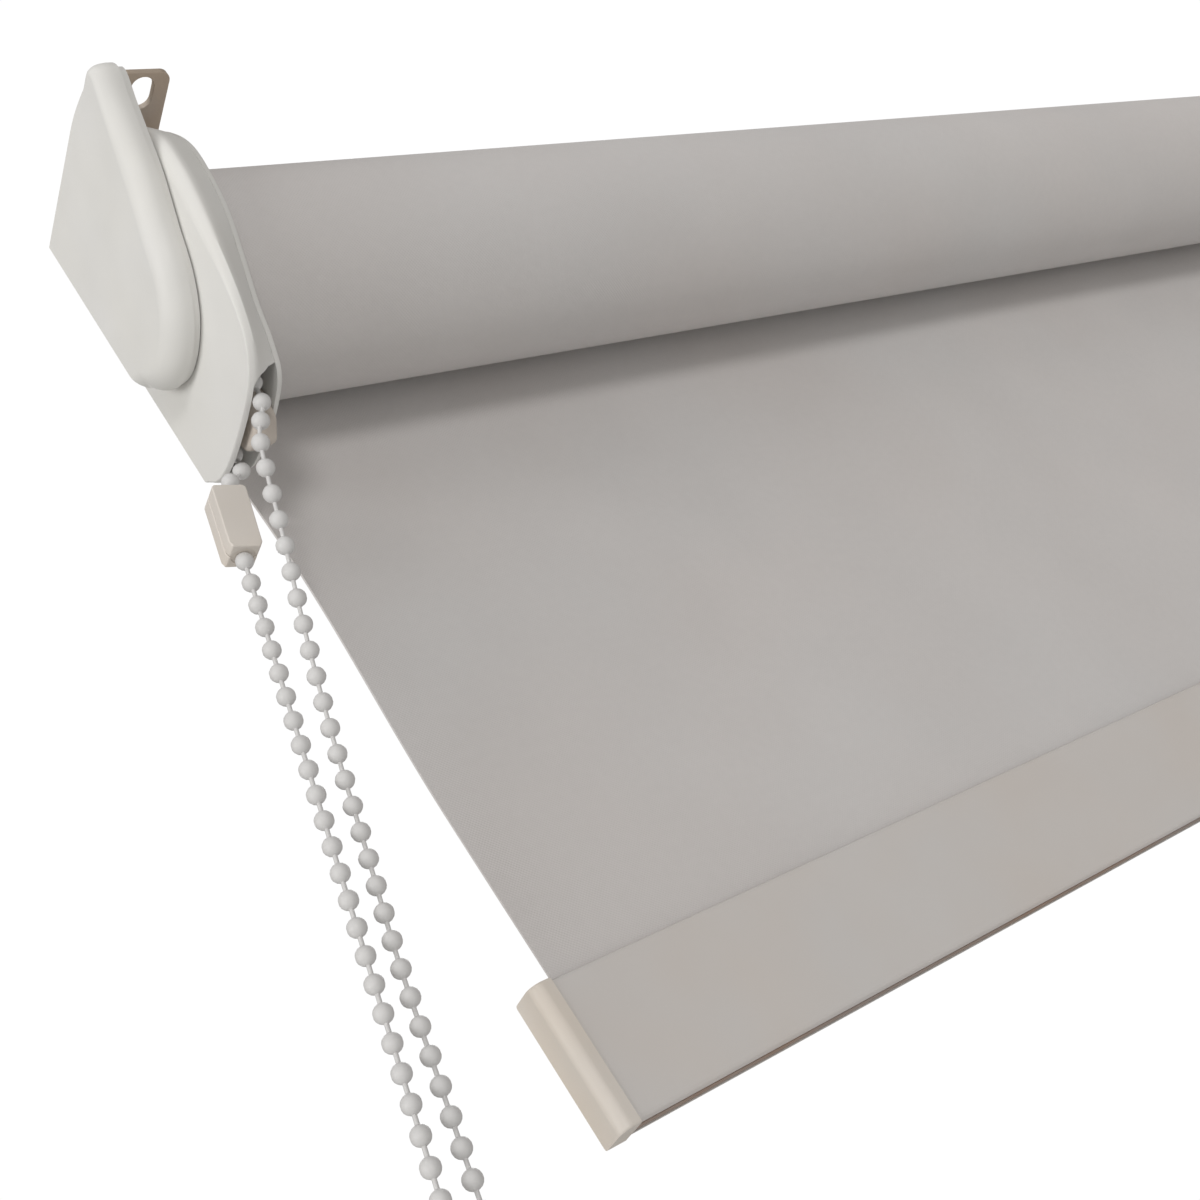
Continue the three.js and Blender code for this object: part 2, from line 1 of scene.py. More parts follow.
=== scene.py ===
"""A roller blind with a ball-chain clutch, seen from below at its chain end.

Sizes are in millimetres unless a name says otherwise; put() and mm() turn them into metres.
x is measured from the outer face of the chain end, y from the roller axis towards the window
and z upwards from the roller axis.
"""
import json
import math

import bmesh
import bpy
from mathutils import Euler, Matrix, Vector

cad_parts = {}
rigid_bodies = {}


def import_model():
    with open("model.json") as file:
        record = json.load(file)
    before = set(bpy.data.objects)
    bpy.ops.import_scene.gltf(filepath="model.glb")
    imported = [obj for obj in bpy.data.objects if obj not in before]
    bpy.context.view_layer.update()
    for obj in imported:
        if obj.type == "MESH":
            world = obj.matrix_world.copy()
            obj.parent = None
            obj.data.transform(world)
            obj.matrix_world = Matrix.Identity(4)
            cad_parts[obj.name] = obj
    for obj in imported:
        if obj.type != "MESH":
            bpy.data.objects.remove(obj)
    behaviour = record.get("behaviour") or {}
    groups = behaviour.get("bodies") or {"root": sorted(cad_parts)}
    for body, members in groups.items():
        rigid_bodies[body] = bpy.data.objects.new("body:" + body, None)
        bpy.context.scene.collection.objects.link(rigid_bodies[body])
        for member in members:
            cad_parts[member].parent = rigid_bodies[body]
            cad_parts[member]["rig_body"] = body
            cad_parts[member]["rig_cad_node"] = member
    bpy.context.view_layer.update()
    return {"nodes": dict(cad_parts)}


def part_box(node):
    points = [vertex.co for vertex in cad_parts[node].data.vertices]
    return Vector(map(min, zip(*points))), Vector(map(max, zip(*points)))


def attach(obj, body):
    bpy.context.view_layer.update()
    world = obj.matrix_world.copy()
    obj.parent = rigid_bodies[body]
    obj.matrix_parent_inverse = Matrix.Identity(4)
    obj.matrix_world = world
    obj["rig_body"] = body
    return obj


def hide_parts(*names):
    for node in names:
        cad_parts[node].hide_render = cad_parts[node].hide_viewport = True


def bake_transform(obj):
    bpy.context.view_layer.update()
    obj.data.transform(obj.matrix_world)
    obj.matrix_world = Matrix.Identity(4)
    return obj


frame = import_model()
nodes = frame["nodes"]

# ---- driving sizes ----
MM = 0.001
LEFT_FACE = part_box("cover_left")[0].x / MM      # outer face of the chain end
AXIS_Z = -33.0                                  # roller axis under the mounting plane

COVER_DEPTH = 6.2
COVER_BACK = 11.0
COVER_ROUND = 5.0
SKIRT_END = 8.05                                # the cover wraps the edge of the steel plate
HOUSE_X = 8.3
HOUSE_END = 17.4
HOUSE_BACK = 21.0
HOUSE_TOP = 30.5
HOUSE_ROUND = 4.4
WALL = 1.5
WALL_END = 19.1

CHAIN_X = 12.7
BALL = 4.2
PITCH = 6.0
BALL_START = 0.35                               # share of a pitch before the first ball
LINK_R = 0.5
WHEEL_R = 11.46
PULLEY_R = 6.37

CLOTH_X = 19.5
CLOTH_Y = 28.375                                # middle of the hanging cloth
CLOTH_T = 0.6
TUBE_R = 22.5

RAIL_X = 17.9
CAP_X = 12.8
RAIL_TOP = -182.7
RAIL_H = 34.0
RAIL_T = 8.8
RAIL_Y = 29.98


def mm(x, y, z):
    """A point in metres from x past the outer face, and y and z from the roller axis."""
    return Vector(((LEFT_FACE + x) * MM, y * MM, (AXIS_Z + z) * MM))


# ---- camera ----
def make_camera():
    data = bpy.data.cameras.new("camera")
    data.sensor_width = 36
    data.lens = 51.3
    data.clip_start = 0.01
    camera = bpy.data.objects.new("camera", data)
    camera.location = (-0.4723, -0.2668, -0.3066)
    camera.rotation_euler = Euler([math.radians(a) for a in (118.838, 32.708, -25.414)])
    bpy.context.scene.collection.objects.link(camera)
    bpy.context.scene.camera = camera


make_camera()


# ---- modelling helpers ----
def pick(obj):
    bpy.ops.object.select_all(action="DESELECT")
    obj.select_set(True)
    bpy.context.view_layer.objects.active = obj


def edit(obj):
    pick(obj)
    bpy.ops.object.mode_set(mode="EDIT")
    return bmesh.from_edit_mesh(obj.data)


def object_mode():
    bpy.ops.object.mode_set(mode="OBJECT")


def apply_modifier(obj, kind, **values):
    pick(obj)
    modifier = obj.modifiers.new(kind.lower(), kind)
    for key, value in values.items():
        setattr(modifier, key, value)
    bpy.ops.object.modifier_apply(modifier=modifier.name)


def soften(obj, width=0.25, segments=2, angle=40):
    """Rounds the sharp edges and keeps the flat faces flat when shaded."""
    if width:
        apply_modifier(obj, "BEVEL", width=width * MM, segments=segments, limit_method="ANGLE",
                       angle_limit=math.radians(angle), use_clamp_overlap=True, harden_normals=False)
    pick(obj)
    bpy.ops.object.shade_smooth_by_angle(angle=math.radians(38))
    apply_modifier(obj, "WEIGHTED_NORMAL", keep_sharp=True)


def normals_out(obj):
    edit(obj)
    bpy.ops.mesh.select_all(action="SELECT")
    bpy.ops.mesh.remove_doubles(threshold=0.000002)
    bpy.ops.mesh.normals_make_consistent(inside=False)
    object_mode()


def lofted(name, levels):
    """A closed skin through outlines at several x: each level is (x, [(y, z), ...])."""
    count = len(levels[0][1])
    bpy.ops.object.select_all(action="DESELECT")
    bpy.ops.mesh.primitive_circle_add(vertices=count, radius=0.01, fill_type="NGON")
    obj = bpy.context.object
    obj.name = name
    bm = edit(obj)
    for depth, (x, points) in enumerate(levels):
        if depth:
            bpy.ops.mesh.select_mode(type="FACE")
            bpy.ops.mesh.extrude_region()
            bm = bmesh.from_edit_mesh(obj.data)
        face = next(f for f in bm.faces if f.select and len(f.verts) == count)
        for corner, (y, z) in zip(face.loops, points):
            corner.vert.co = mm(x, y, z)
        bmesh.update_edit_mesh(obj.data)
    object_mode()
    normals_out(obj)
    return obj


def cut_with(obj, *cutters):
    for cutter in cutters:
        apply_modifier(obj, "BOOLEAN", object=cutter, operation="DIFFERENCE", solver="EXACT")
        bpy.data.objects.remove(cutter)
    normals_out(obj)


def rod(radius, x0, x1, y, z, sides=64):
    """A round bar along X, used to bore holes."""
    bpy.ops.object.select_all(action="DESELECT")
    bpy.ops.mesh.primitive_cylinder_add(vertices=sides, radius=radius * MM, depth=(x1 - x0) * MM,
                                        location=mm((x0 + x1) / 2, y, z), rotation=(0, math.pi / 2, 0))
    obj = bpy.context.object
    bpy.ops.object.transform_apply(location=True, rotation=True, scale=True)
    return obj


def other_end(obj, name):
    """The same piece at the far end, mirrored about mid-width."""
    copy = obj.copy()
    copy.data = obj.data.copy()
    copy.name = name
    bpy.context.scene.collection.objects.link(copy)
    pick(copy)
    copy.scale.x = -1
    bpy.ops.object.transform_apply(location=True, rotation=True, scale=True)
    edit(copy)
    bpy.ops.mesh.select_all(action="SELECT")
    bpy.ops.mesh.normals_make_consistent(inside=False)
    object_mode()
    return copy


def finished_node(node, name, body, width=0.2, segments=2, angle=40):
    """A merged copy of a CAD solid with its edges rounded."""
    source = nodes[node]
    copy = source.copy()
    copy.data = source.data.copy()
    copy.parent = None
    copy.name = name
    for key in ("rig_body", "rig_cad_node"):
        del copy[key]
    bpy.context.scene.collection.objects.link(copy)
    edit(copy)
    bpy.ops.mesh.select_all(action="SELECT")
    bpy.ops.mesh.remove_doubles(threshold=0.000005)
    bpy.ops.mesh.dissolve_limited(angle_limit=math.radians(0.6))
    object_mode()
    soften(copy, width, segments, angle)
    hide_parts(node)
    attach(copy, body)
    return copy


# ---- outlines in the side view ----
TOP_POINTS = 26                                 # along the straight top
TIP_FADE = 13.0                                 # length over which the rounding fades at the tip


def rounded_line(points, count):
    """Evenly spaced points on a centripetal curve through the given ones."""
    pts = [Vector(p) for p in points]
    pts = [pts[0] * 2 - pts[1]] + pts + [pts[-1] * 2 - pts[-2]]
    fine = []
    for i in range(1, len(pts) - 2):
        p0, p1, p2, p3 = pts[i - 1:i + 3]
        d0, d1, d2 = ((b - a).length ** 0.5 for a, b in ((p0, p1), (p1, p2), (p2, p3)))
        t1 = ((p1 - p0) / d0 - (p2 - p0) / (d0 + d1) + (p2 - p1) / d1) * d1
        t2 = ((p2 - p1) / d1 - (p3 - p1) / (d1 + d2) + (p3 - p2) / d2) * d1
        for k in range(40):
            t = k / 40
            fine.append(p1 + t1 * t + (-3 * p1 + 3 * p2 - 2 * t1 - t2) * t ** 2
                        + (2 * p1 - 2 * p2 + t1 + t2) * t ** 3)
    fine.append(pts[-2])
    return evenly(fine, count)


def evenly(fine, count):
    lengths = [0.0]
    for a, b in zip(fine, fine[1:]):
        lengths.append(lengths[-1] + (b - a).length)
    out = []
    i = 0
    for k in range(count + 1):
        want = lengths[-1] * k / count
        while i < len(fine) - 2 and lengths[i + 1] < want:
            i += 1
        share = (want - lengths[i]) / max(lengths[i + 1] - lengths[i], 1e-9)
        out.append(fine[i].lerp(fine[i + 1], min(1, share)))
    return out


COVER_EDGE = rounded_line([
    (-36.5, 32.6), (-42, 32.1), (-44, 28.4), (-40.9, 20.7), (-38, 13.5), (-34.2, 4.2), (-27.6, -7.2),
    (-22.7, -15.9), (-17, -21.8), (-11.7, -24.8), (-5, -26.4), (1.7, -25.9), (7.5, -22.9), (11, -18.5),
], 96)
HOUSE_EDGE = rounded_line([
    (-21, 30.5), (-29, 26), (-34.5, 19), (-37.8, 10), (-37.6, 0), (-35.8, -9), (-31.8, -23), (-26.8, -35),
    (-22.3, -41.7), (-16, -45.6), (-7, -47.3), (10, -47.3), (17, -45.3), (21, -41.5),
], 110)
INNER_EDGE = rounded_line([
    (-20, 30.5), (-27, 25.5), (-32, 19.2), (-34.5, 11.5), (-34.1, 2.6), (-31.9, -7.4), (-27.3, -17),
    (-21.5, -27.5), (-18, -36), (-13.8, -42.4), (-6.3, -44.8), (8, -45), (16, -43.4), (21, -39.5),
], 110)


def outline(edge, back, top, inset, trim, weight=lambda z: 1.0):
    """The curved edge pulled in by inset, closed by the straight top and back edges.

    The inset is multiplied by weight, given each point's height, and fades out along the top.
    """
    last = len(edge) - 1
    corner = edge[0].x
    pts = []
    for k in range(TOP_POINTS):
        y = back - trim + (corner - back + trim) * k / TOP_POINTS
        near = max(0.0, 1 - (y - corner) / TIP_FADE)
        pts.append((y, top - max(trim, inset * weight(top) * near * near)))
    for i, point in enumerate(edge):
        a = edge[max(0, i - 1)]
        b = edge[min(last, i + 1)]
        way = (b - a).normalized()
        pull = max(trim, inset * weight(point.y))
        y = point.x - way.y * pull
        z = point.y + way.x * pull
        if i == last:
            y, z = back - trim, point.y + pull
        pts.append((min(y, back - trim), min(z, top - max(trim, inset * weight(top) * 0.99))))
    return pts


def rounded_rim(radius, steps):
    """(x, inset) pairs of a quarter round that starts on the outer face."""
    turns = [math.pi / 2 * k / steps for k in range(steps + 1)]
    return [(radius * (1 - math.cos(t)), radius * (1 - math.sin(t))) for t in turns]


def rounded_rect(y, z, half_y, half_z, radius, steps=6):
    pts = []
    for k, (sy, sz) in enumerate(((1, 1), (-1, 1), (-1, -1), (1, -1))):
        for i in range(steps + 1):
            a = math.pi / 2 * (k + i / steps)
            pts.append((y + sy * (half_y - radius) + radius * math.cos(a),
                        z + sz * (half_z - radius) + radius * math.sin(a)))
    return pts


# ---- material effects, shared as groups ----
def new_group(name, inputs, outputs):
    group = bpy.data.node_groups.new(name, "ShaderNodeTree")
    for title, kind, value in inputs:
        socket = group.interface.new_socket(title, in_out="INPUT", socket_type=kind)
        if value is not None:
            socket.default_value = value
    for title, kind in outputs:
        group.interface.new_socket(title, in_out="OUTPUT", socket_type=kind)
    return group, group.nodes.new("NodeGroupInput"), group.nodes.new("NodeGroupOutput")


def noise(tree, scale=1.0, detail=3.0, roughness=0.55):
    node = tree.nodes.new("ShaderNodeTexNoise")
    node.inputs["Scale"].default_value = scale
    node.inputs["Detail"].default_value = detail
    node.inputs["Roughness"].default_value = roughness
    return node


def math_node(tree, operation, a, b=None):
    node = tree.nodes.new("ShaderNodeMath")
    node.operation = operation
    for socket, value in zip(node.inputs, (a, b)):
        if value is None:
            continue
        if isinstance(value, (int, float)):
            socket.default_value = value
        else:
            tree.links.new(value, socket)
    return node.outputs[0]


def remap(tree, value, low, high, to_low, to_high):
    node = tree.nodes.new("ShaderNodeMapRange")
    tree.links.new(value, node.inputs["Value"])
    for title, number in (("From Min", low), ("From Max", high), ("To Min", to_low), ("To Max", to_high)):
        node.inputs[title].default_value = number
    return node.outputs["Result"]


def tone_drift():
    """Slow changes of tone over a surface: lighter and darker, warmer and cooler."""
    group, given, out = new_group(
        "tone_drift",
        [("Place", "NodeSocketVector", None), ("Colour", "NodeSocketColor", (1, 1, 1, 1)),
         ("Amount", "NodeSocketFloat", 0.05), ("Scale", "NodeSocketFloat", 20.0)],
        [("Colour", "NodeSocketColor")])
    broad = noise(group, 1, 2)
    warm = noise(group, 1, 1)
    shift = group.nodes.new("ShaderNodeVectorMath")
    shift.operation = "ADD"
    shift.inputs[1].default_value = (3.1, 1.7, 5.3)
    group.links.new(given.outputs["Place"], broad.inputs["Vector"])
    group.links.new(given.outputs["Place"], shift.inputs[0])
    group.links.new(shift.outputs[0], warm.inputs["Vector"])
    for node in (broad, warm):
        group.links.new(given.outputs["Scale"], node.inputs["Scale"])
    tone = group.nodes.new("ShaderNodeHueSaturation")
    spread = math_node(group, "MULTIPLY", given.outputs["Amount"],
                       remap(group, broad.outputs["Fac"], 0.3, 0.7, -1, 1))
    group.links.new(math_node(group, "ADD", spread, 1.0), tone.inputs["Value"])
    group.links.new(remap(group, warm.outputs["Fac"], 0.3, 0.7, 0.75, 1.3), tone.inputs["Saturation"])
    group.links.new(given.outputs["Colour"], tone.inputs["Color"])
    group.links.new(tone.outputs["Color"], out.inputs["Colour"])
    return group


def moulded_grain():
    """The fine matt skin of a moulded part, with a few shallow sink marks."""
    group, given, out = new_group(
        "moulded_grain",
        [("Place", "NodeSocketVector", None), ("Scale", "NodeSocketFloat", 2500.0),
         ("Sinks", "NodeSocketFloat", 0.3)],
        [("Height", "NodeSocketFloat"), ("Gloss", "NodeSocketFloat")])
    fine = noise(group, 1, 2)
    sinks = noise(group, 55, 1)
    rub = noise(group, 160, 4)
    for node in (fine, sinks, rub):
        group.links.new(given.outputs["Place"], node.inputs["Vector"])
    group.links.new(given.outputs["Scale"], fine.inputs["Scale"])
    deep = math_node(group, "MULTIPLY", sinks.outputs["Fac"], given.outputs["Sinks"])
    group.links.new(math_node(group, "ADD", fine.outputs["Fac"], deep), out.inputs["Height"])
    group.links.new(remap(group, rub.outputs["Fac"], 0.3, 0.75, -0.06, 0.1), out.inputs["Gloss"])
    return group


def plain_weave():
    """Over-and-under threads on a flat coordinate in metres, with uneven yarn."""
    group, given, out = new_group(
        "plain_weave",
        [("Place", "NodeSocketVector", None), ("Threads", "NodeSocketFloat", 2000.0)],
        [("Height", "NodeSocketFloat"), ("Shade", "NodeSocketFloat")])
    wander = noise(group, 900, 2)
    group.links.new(given.outputs["Place"], wander.inputs["Vector"])
    parts = group.nodes.new("ShaderNodeSeparateXYZ")
    group.links.new(given.outputs["Place"], parts.inputs[0])
    uneven = math_node(group, "MULTIPLY", wander.outputs["Fac"], 1.6)
    waves = []
    for axis in ("X", "Y"):
        turn = math_node(group, "MULTIPLY", parts.outputs[axis], given.outputs["Threads"])
        turn = math_node(group, "MULTIPLY", turn, math.pi)
        waves.append(math_node(group, "SINE", math_node(group, "ADD", turn, uneven)))
    crossing = math_node(group, "MULTIPLY", waves[0], waves[1])
    yarn = noise(group, 400, 3)
    group.links.new(given.outputs["Place"], yarn.inputs["Vector"])
    group.links.new(math_node(group, "ADD", crossing, yarn.outputs["Fac"]), out.inputs["Height"])
    shade = math_node(group, "ADD", math_node(group, "MULTIPLY", crossing, 0.25), yarn.outputs["Fac"])
    group.links.new(shade, out.inputs["Shade"])
    return group


def specks():
    """A few tiny dark slubs, far apart."""
    group, given, out = new_group(
        "specks",
        [("Place", "NodeSocketVector", None), ("Spread", "NodeSocketFloat", 14.0),
         ("Size", "NodeSocketFloat", 0.006)],
        [("Mask", "NodeSocketFloat")])
    cells = group.nodes.new("ShaderNodeTexVoronoi")
    cells.feature = "F1"
    group.links.new(given.outputs["Place"], cells.inputs["Vector"])
    group.links.new(given.outputs["Spread"], cells.inputs["Scale"])
    near = math_node(group, "LESS_THAN", cells.outputs["Distance"], given.outputs["Size"])
    group.links.new(near, out.inputs["Mask"])
    return group


def fine_scratches():
    """Hairline marks along one direction, as on drawn or plated metal."""
    group, given, out = new_group(
        "fine_scratches",
        [("Place", "NodeSocketVector", None), ("Along", "NodeSocketVector", (30, 3000, 3000))],
        [("Height", "NodeSocketFloat"), ("Gloss", "NodeSocketFloat")])
    stretch = group.nodes.new("ShaderNodeVectorMath")
    stretch.operation = "MULTIPLY"
    group.links.new(given.outputs["Place"], stretch.inputs[0])
    group.links.new(given.outputs["Along"], stretch.inputs[1])
    lines = noise(group, 1, 4, 0.7)
    group.links.new(stretch.outputs[0], lines.inputs["Vector"])
    group.links.new(lines.outputs["Fac"], out.inputs["Height"])
    group.links.new(remap(group, lines.outputs["Fac"], 0.3, 0.7, -0.08, 0.1), out.inputs["Gloss"])
    return group


TONE = tone_drift()
GRAIN = moulded_grain()
WEAVE = plain_weave()
SPECKS = specks()
SCRATCHES = fine_scratches()


# ---- materials ----
MATT_SPECULAR = 0.3
CLOTH_ROUGHNESS = 0.82
THREADS_PER_METRE = 2300.0


class Look:
    """A material with its Principled shader and a place to read patterns from."""

    def __init__(self, name, colour, roughness, attribute=None):
        self.material = bpy.data.materials.new(name)
        self.material.use_nodes = True
        self.tree = self.material.node_tree
        self.shader = self.tree.nodes["Principled BSDF"]
        self.colour = (*colour, 1)
        self.roughness = roughness
        if attribute:
            source = self.tree.nodes.new("ShaderNodeAttribute")
            source.attribute_name = attribute
            self.place = source.outputs["Vector"]
        else:
            self.place = self.tree.nodes.new("ShaderNodeTexCoord").outputs["Object"]

    def group(self, group, **values):
        node = self.tree.nodes.new("ShaderNodeGroup")
        node.node_tree = group
        self.tree.links.new(self.place, node.inputs["Place"])
        for title, value in values.items():
            node.inputs[title].default_value = value
        return node

    def toned(self, amount, scale):
        return self.group(TONE, Colour=self.colour, Amount=amount, Scale=scale).outputs["Colour"]

    def link(self, output, title):
        self.tree.links.new(output, self.shader.inputs[title])

    def bump(self, height, distance, strength=1.0):
        node = self.tree.nodes.new("ShaderNodeBump")
        node.inputs["Strength"].default_value = strength
        node.inputs["Distance"].default_value = distance
        self.tree.links.new(height, node.inputs["Height"])
        self.link(node.outputs["Normal"], "Normal")

    def rough(self, gloss):
        self.link(math_node(self.tree, "ADD", gloss, self.roughness), "Roughness")


def moulded(name, colour, roughness=0.42, tone=0.03, grain=0.000012):
    look = Look(name, colour, roughness)
    look.link(look.toned(tone, 35), "Base Color")
    grain_node = look.group(GRAIN)
    look.rough(grain_node.outputs["Gloss"])
    look.bump(grain_node.outputs["Height"], grain)
    look.shader.inputs["Specular IOR Level"].default_value = MATT_SPECULAR
    return look.material


def metal(name, colour, roughness=0.38, along=(30, 3000, 3000), depth=0.000004, metallic=1.0):
    look = Look(name, colour, roughness)
    look.link(look.toned(0.06, 60), "Base Color")
    marks = look.group(SCRATCHES, Along=along)
    look.rough(marks.outputs["Gloss"])
    look.bump(marks.outputs["Height"], depth)
    look.shader.inputs["Metallic"].default_value = metallic
    return look.material


def blind_cloth(name, colour):
    look = Look(name, colour, CLOTH_ROUGHNESS, attribute="cloth_place")
    weave = look.group(WEAVE, Threads=THREADS_PER_METRE)
    tree = look.tree
    toned = look.toned(0.022, 16)
    shaded = tree.nodes.new("ShaderNodeHueSaturation")
    tree.links.new(toned, shaded.inputs["Color"])
    tree.links.new(remap(tree, weave.outputs["Shade"], 0.2, 0.8, 0.985, 1.015), shaded.inputs["Value"])
    dark = look.group(SPECKS, Spread=9.0, Size=0.0052)
    mix = tree.nodes.new("ShaderNodeMix")
    mix.data_type = "RGBA"
    tree.links.new(math_node(tree, "MULTIPLY", dark.outputs["Mask"], 0.6), mix.inputs["Factor"])
    tree.links.new(shaded.outputs["Color"], mix.inputs["A"])
    mix.inputs["B"].default_value = (0.08, 0.07, 0.07, 1)
    look.link(mix.outputs["Result"], "Base Color")
    look.bump(weave.outputs["Height"], 0.000016)
    look.shader.inputs["Roughness"].default_value = CLOTH_ROUGHNESS
    look.shader.inputs["Sheen Weight"].default_value = 0.12
    look.shader.inputs["Sheen Roughness"].default_value = 0.5
    look.shader.inputs["Specular IOR Level"].default_value = MATT_SPECULAR
    return look.material


WHITE = moulded("white_shell", (0.77, 0.765, 0.74), 0.52)
# The chain guide's white plastic, painted darker and warmer: painted shade standing for the shaded lip
# inside the chain's mouth.
WHITE_PAINTED_SHADE = moulded("white_shell_painted_shade", (0.60, 0.53, 0.46), 0.5)
CREAM = moulded("cream_end_cap", (0.70, 0.645, 0.58), 0.42, tone=0.02)
CLIP = moulded("connector_plastic", (0.72, 0.66, 0.59), 0.45)
BEADS = moulded("chain_beads", (0.68, 0.675, 0.67), 0.45, tone=0.02, grain=0.000006)
BLACK = moulded("clutch_core_plastic", (0.035, 0.035, 0.037), 0.5)
GREY = moulded("tube_plug_plastic", (0.27, 0.28, 0.29), 0.5)
STRIP = moulded("weight_strip", (0.36, 0.27, 0.22), 0.6)
PLATE = metal("bracket_steel", (0.62, 0.53, 0.44), 0.46, (900, 900, 60), metallic=0.8)
ZINC = metal("zinc_plated", (0.55, 0.54, 0.51), 0.35, (900, 900, 900))
TUBE = metal("tube_aluminium", (0.68, 0.69, 0.7), 0.4)
RAIL = moulded("rail_paint", (0.64, 0.61, 0.585), 0.45, tone=0.008, grain=0.000003)
CLOTH = blind_cloth("blind_cloth", (0.63, 0.61, 0.60))


def dress(obj, material):
    obj.data.materials.clear()
    obj.data.materials.append(material)


# ---- ball chain ----
CHAIN_TILT = Vector((-0.955, -0.2, 0.208)).normalized()
PULLEY = Vector((-42.8, 19.7, -286.3))
FRONT_END = PULLEY - CHAIN_TILT * PULLEY_R
REAR_END = PULLEY + CHAIN_TILT * PULLEY_R
REAR_TOP = Vector((3.3, 8.8, -54.5))
REAR_WAY = (REAR_END - REAR_TOP).normalized()
CLIP_TOP = 0.9
CLIP_LENGTH = 17.6
CHAIN_STEP = 0.25                               # spacing of the points that balls are placed between


def chain_route():
    """The chain's own route: connector, sprocket, front strand, tensioner, rear strand, connector."""
    start = REAR_TOP + REAR_WAY * (CLIP_TOP + CLIP_LENGTH / 2)
    pts = [start] + [REAR_TOP + REAR_WAY * d for d in (4, 0.5)]
    pts += [Vector(p) for p in ((6.5, 9.4, -51.7), (11.2, 10.2, -48.6), (12.5, 10.8, -44.5),
                                (12.6, 11.2, -39), (CHAIN_X, WHEEL_R, -30), (CHAIN_X, WHEEL_R, -15))]
    for i in range(9):
        a = math.pi * i / 8
        pts.append(Vector((CHAIN_X, WHEEL_R * math.cos(a), WHEEL_R * math.sin(a))))
    pts += [Vector(p) for p in (
        (CHAIN_X, -WHEEL_R, -15), (CHAIN_X, -WHEEL_R, -30), (12.6, -11.3, -39), (12.4, -11, -44),
        (11.3, -10.8, -48.6), (6.7, -10.2, -56.4), (3.1, -1.8, -78.5), (-0.9, 5.9, -101), (-5.6, 10.6, -124),
        (-10.6, 13, -147), (-16.2, 14.4, -170), (-21, 15.7, -194), (-25.6, 17, -217.5), (-31.5, 19, -252))]
    for i in range(9):
        a = math.pi * i / 8
        pts.append(PULLEY - CHAIN_TILT * PULLEY_R * math.cos(a) + REAR_WAY * PULLEY_R * math.sin(a))
    pts += [REAR_END.lerp(start, t) for t in (0.15, 0.3, 0.45, 0.6, 0.75)]
    pts.append(start + REAR_WAY * 3)
    return pts


def tube_along(name, points, radius):
    curve = bpy.data.curves.new(name, "CURVE")
    curve.dimensions = "3D"
    curve.bevel_depth = radius * MM
    curve.bevel_resolution = 2
    curve.use_fill_caps = True
    spline = curve.splines.new("POLY")
    spline.points.add(len(points) - 1)
    for slot, p in zip(spline.points, points):
        slot.co = (*mm(*p), 1)
    obj = bpy.data.objects.new(name, curve)
    bpy.context.scene.collection.objects.link(obj)
    pick(obj)
    bpy.ops.object.convert(target="MESH")
    return bpy.context.object


def make_chain():
    fine = rounded_line(chain_route(), 1200)
    length = sum((b - a).length for a, b in zip(fine, fine[1:]))
    balls = int(length / PITCH)
    cord = tube_along("ball_chain", evenly(fine, 560), LINK_R)
    bpy.ops.object.select_all(action="DESELECT")
    bpy.ops.mesh.primitive_uv_sphere_add(segments=14, ring_count=9, radius=BALL / 2 * MM)
    ball = bpy.context.object
    bpy.ops.object.shade_smooth()
    spots = evenly(fine, int(length / CHAIN_STEP))
    made = []
    for k in range(balls):
        at = (k + BALL_START) * PITCH / CHAIN_STEP
        i = min(int(at), len(spots) - 2)
        copy = ball.copy()
        copy.data = ball.data.copy()
        copy.location = mm(*spots[i].lerp(spots[i + 1], at - int(at)))
        way = spots[i + 1] - spots[i]
        copy.rotation_mode = "QUATERNION"
        copy.rotation_quaternion = way.to_track_quat("Z", "Y")
        bpy.context.scene.collection.objects.link(copy)
        made.append(copy)
    bpy.data.objects.remove(ball)
    bpy.ops.object.select_all(action="DESELECT")
    for obj in made + [cord]:
        obj.select_set(True)
    bpy.context.view_layer.objects.active = cord
    bpy.ops.object.join()
    bpy.ops.object.transform_apply(location=True, rotation=True, scale=True)
    bpy.ops.object.shade_smooth()
    return cord, evenly(fine, 300), length


chain, chain_line, chain_length = make_chain()
dress(chain, BEADS)
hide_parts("chain")
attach(chain, "frame")


# ---- chain connector ----
END_PLATE_R = 2.75
END_PLATE_T = 0.7
END_PLATE_DEPTH = 0.65                              # from the lower end up to the plate's middle


def add_end_plate(half):
    """Closes the lower end of the bore round the thin link between two balls."""
    at = REAR_TOP + REAR_WAY * (CLIP_TOP + CLIP_LENGTH - END_PLATE_DEPTH)
    bpy.ops.object.select_all(action="DESELECT")
    bpy.ops.mesh.primitive_cylinder_add(vertices=40, radius=END_PLATE_R * MM, depth=END_PLATE_T * MM)
    plate = bpy.context.object
    plate.rotation_mode = "QUATERNION"
    plate.rotation_quaternion = REAR_WAY.to_track_quat("Z", "Y")
    plate.location = mm(*at)
    bpy.ops.object.transform_apply(location=True, rotation=True, scale=True)
    half.select_set(True)
    bpy.context.view_layer.objects.active = half
    bpy.ops.object.join()


for part in ("front", "back"):
    half = finished_node("connector_" + part, "chain_connector_" + part, "connector", 0.7, 4)
    if part == "front":
        add_end_plate(half)
    dress(half, CLIP)


# ---- bracket covers ----
TOP_GAP = 0.4
TOP_STEP = 1.6                                  # room for the flange over the skirt


def cover_weight(z):
    """The front rounding narrows to just over half towards the tip."""
    rise = max(0.0, min(1.0, (30 - z) / 26))
    return 0.56 + 0.44 * rise * rise * (3 - 2 * rise)


